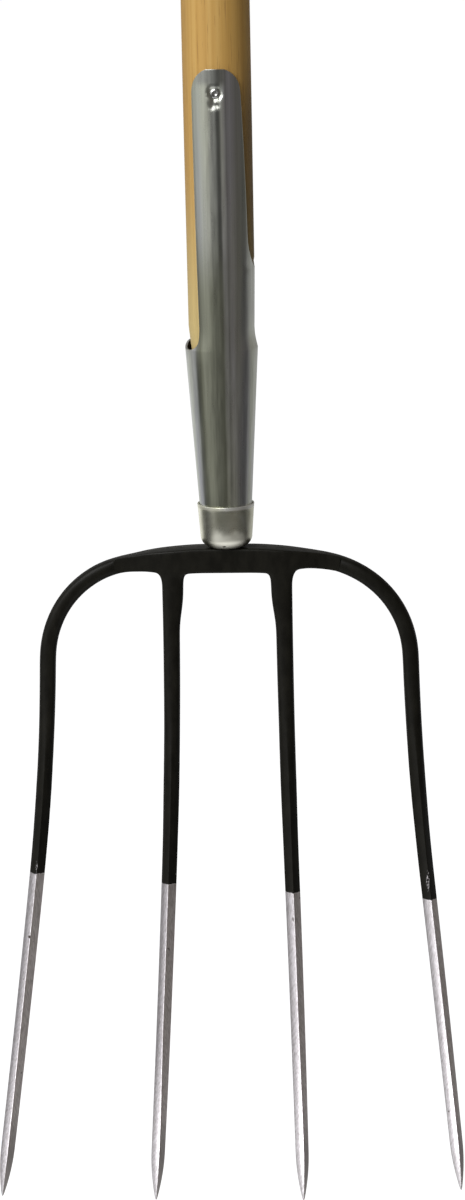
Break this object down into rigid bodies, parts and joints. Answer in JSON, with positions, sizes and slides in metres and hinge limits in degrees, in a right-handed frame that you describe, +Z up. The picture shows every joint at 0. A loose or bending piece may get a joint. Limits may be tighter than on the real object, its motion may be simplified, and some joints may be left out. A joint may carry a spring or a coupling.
{
  "type": "manure fork",
  "caption": "Long handled manure fork: forged head with slender curved tines on a lapped arch, sheet strap socket with end ferrule and a round ash handle.",
  "frame": {"origin": "on the handle's axis, on top of the head's arch where the end ferrule seats", "axes": "+Z up along the handle, X across the tines, and the hollow side of the tines faces -Y"},
  "size_m": [0.2493, 0.1133, 1.6867],
  "materials": {
    "ash_wood": "sanded ash with a thin clear oil",
    "socket_sheet": "bright zinc plated sheet with drawing lines along it",
    "ferrule_steel": "satin zinc",
    "rivet_steel": "bright hammered heads",
    "tang_steel": "as forged",
    "head_steel": "satin black dip paint on the arch and upper tines, bare ground steel below"
  },
  "bodies": {
    "root": {"handle": "ash_wood", "strap_socket": "socket_sheet", "end_ferrule": "ferrule_steel", "strap_rivet": "rivet_steel", "tang": "tang_steel", "outer_tines": "head_steel", "inner_tines": "head_steel"}
  },
  "joints": []
}
